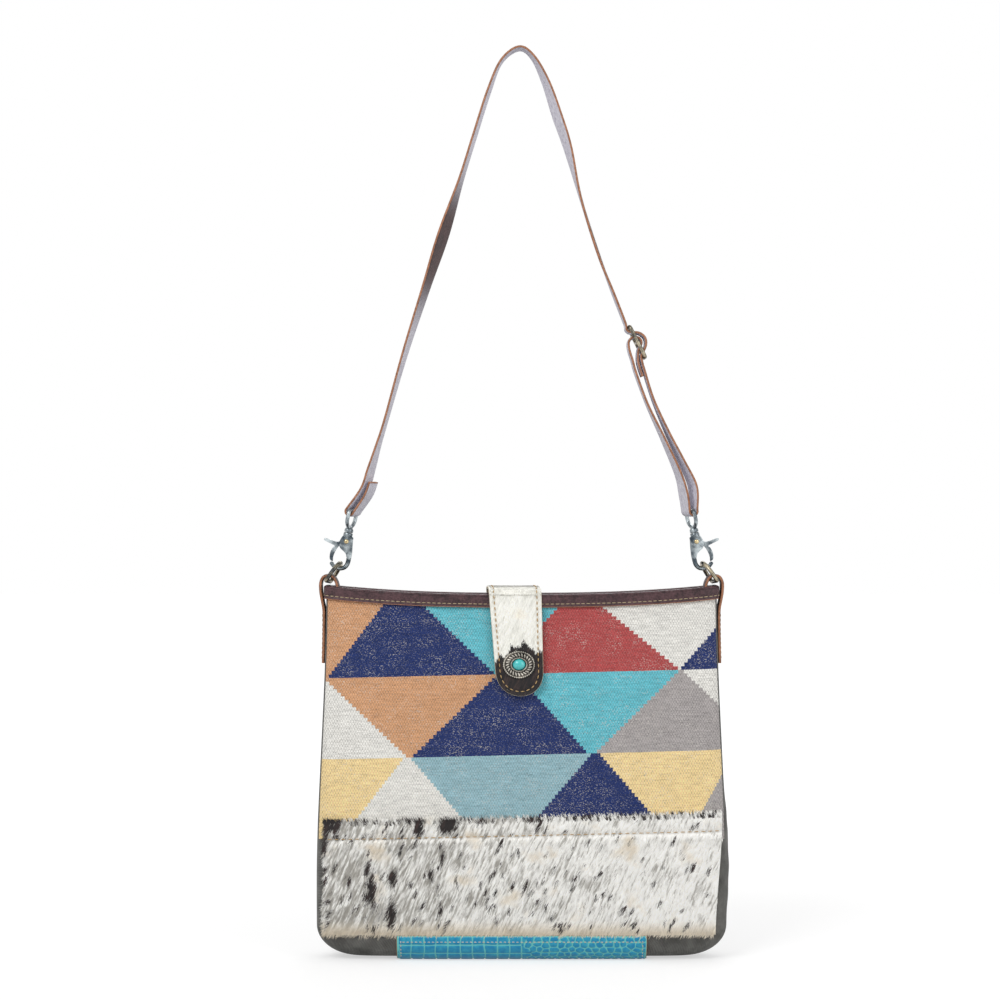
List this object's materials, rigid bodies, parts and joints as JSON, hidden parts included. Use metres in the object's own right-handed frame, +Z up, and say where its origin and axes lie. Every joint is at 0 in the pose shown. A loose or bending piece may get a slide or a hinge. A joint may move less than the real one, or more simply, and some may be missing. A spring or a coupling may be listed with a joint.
{
  "type": "shoulder bag",
  "caption": "Flat shoulder bag with a woven front, hair-on hide lower panel, canvas sides and base, closure tab, and a leather strap with slider on swivel snap hooks.",
  "frame": {"origin": "middle of the base patch's flat underside, where the bag stands", "axes": "+Z up to the top of the strap, +X to the wearer's view right along the width, -Y out of the woven front"},
  "size_m": [0.3396, 0.06, 0.7499],
  "materials": {
    "weave": "matte flat-woven wool",
    "canvas": "matte grey cloth",
    "hide": "short-haired hide",
    "dark_leather": "semi-matte",
    "patch_leather": "embossed, waxed",
    "steel": "antiqued",
    "antique_brass": "antiqued",
    "stone": "polished stone"
  },
  "bodies": {
    "strap": {"strap": "dark_leather", "slider": "steel", "swivel_eye_left": "steel", "swivel_eye_right": "steel"},
    "bag": {"canvas_gusset": "canvas", "back_panel": "canvas", "woven_front": "weave", "hide_front": "hide", "mouth_binding": "dark_leather", "base_patch": "patch_leather", "loop_tab_left": "dark_leather", "loop_tab_right": "dark_leather", "snap_socket": "steel"},
    "closure": {"closure_tab": "hide", "concho": "antique_brass", "stone": "stone", "snap_stud": "steel"},
    "ring_left": {"d_ring_left": "steel"},
    "ring_right": {"d_ring_right": "steel"},
    "hook_left": {"hook_body_left": "steel", "gate_rivet_left": "antique_brass", "gate_spring_left": "steel"},
    "hook_right": {"hook_body_right": "steel", "gate_rivet_right": "antique_brass", "gate_spring_right": "steel"},
    "gate_left": {"gate_left": "steel"},
    "gate_right": {"gate_right": "steel"}
  },
  "joints": [
    {"name": "bag_swing", "type": "hinge", "parent": "strap", "child": "bag", "pos_m": [0, 0, 0.32411], "axis": [1, 0, 0], "range_deg": [-20, 20]},
    {"name": "closure_lift", "type": "hinge", "parent": "bag", "child": "closure", "pos_m": [0, 0.02185, 0.289], "axis": [-1, 0, 0], "range_deg": [0, 150]},
    {"name": "ring_pivot_left", "type": "hinge", "parent": "bag", "child": "ring_left", "pos_m": [-0.15933, 0, 0.3091], "axis": [0.1011, 0.9925, -0.0681], "range_deg": [-1, 1]},
    {"name": "ring_pivot_right", "type": "hinge", "parent": "bag", "child": "ring_right", "pos_m": [0.15933, 0, 0.3091], "axis": [-0.1011, 0.9925, -0.0681], "range_deg": [-1, 1]},
    {"name": "hook_swivel_left", "type": "hinge", "parent": "strap", "child": "hook_left", "pos_m": [-0.1427, 0, 0.349], "axis": [0.2079, 0, 0.9781], "range_deg": [-20, 20]},
    {"name": "hook_swivel_right", "type": "hinge", "parent": "strap", "child": "hook_right", "pos_m": [0.1427, 0, 0.349], "axis": [-0.2079, 0, 0.9781], "range_deg": [-20, 20]},
    {"name": "gate_press_left", "type": "hinge", "parent": "hook_left", "child": "gate_left", "pos_m": [-0.14424, 0, 0.34176], "axis": [0, -1, 0], "range_deg": [0, 12], "stiffness_Nm_per_rad": 0.01, "springref_deg": -20.05},
    {"name": "gate_press_right", "type": "hinge", "parent": "hook_right", "child": "gate_right", "pos_m": [0.14424, 0, 0.34176], "axis": [0, 1, 0], "range_deg": [0, 12], "stiffness_Nm_per_rad": 0.01, "springref_deg": -20.05}
  ]
}
